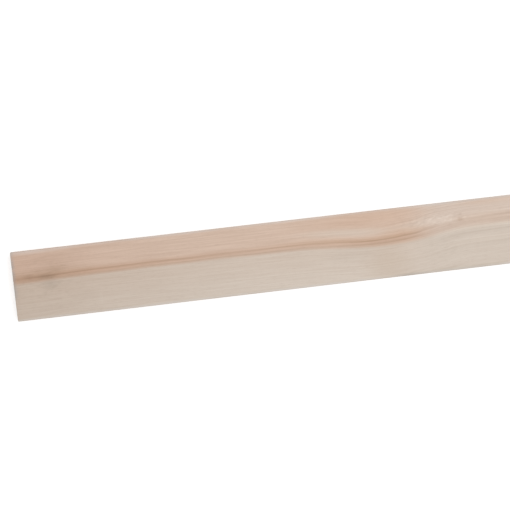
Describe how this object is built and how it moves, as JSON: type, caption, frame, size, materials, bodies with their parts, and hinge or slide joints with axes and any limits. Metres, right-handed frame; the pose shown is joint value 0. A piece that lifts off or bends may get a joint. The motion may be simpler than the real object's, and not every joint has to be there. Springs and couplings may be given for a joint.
{
  "type": "architrave moulding",
  "caption": "Plain flat-faced timber architrave with pencil-round face edges, a straight stock length that trims the joint between a door lining and the wall.",
  "frame": {"origin": "middle of the flat back, halfway along the length, on the surface that the stock lies on", "axes": "+X along the grain, from the end that the picture shows; +Y across the face towards the heartwood edge; +Z out of the back, towards the show face"},
  "size_m": [2.1, 0.069, 0.0205],
  "materials": {
    "planed_timber": "matte"
  },
  "bodies": {
    "root": {"architrave": "planed_timber"}
  },
  "joints": []
}
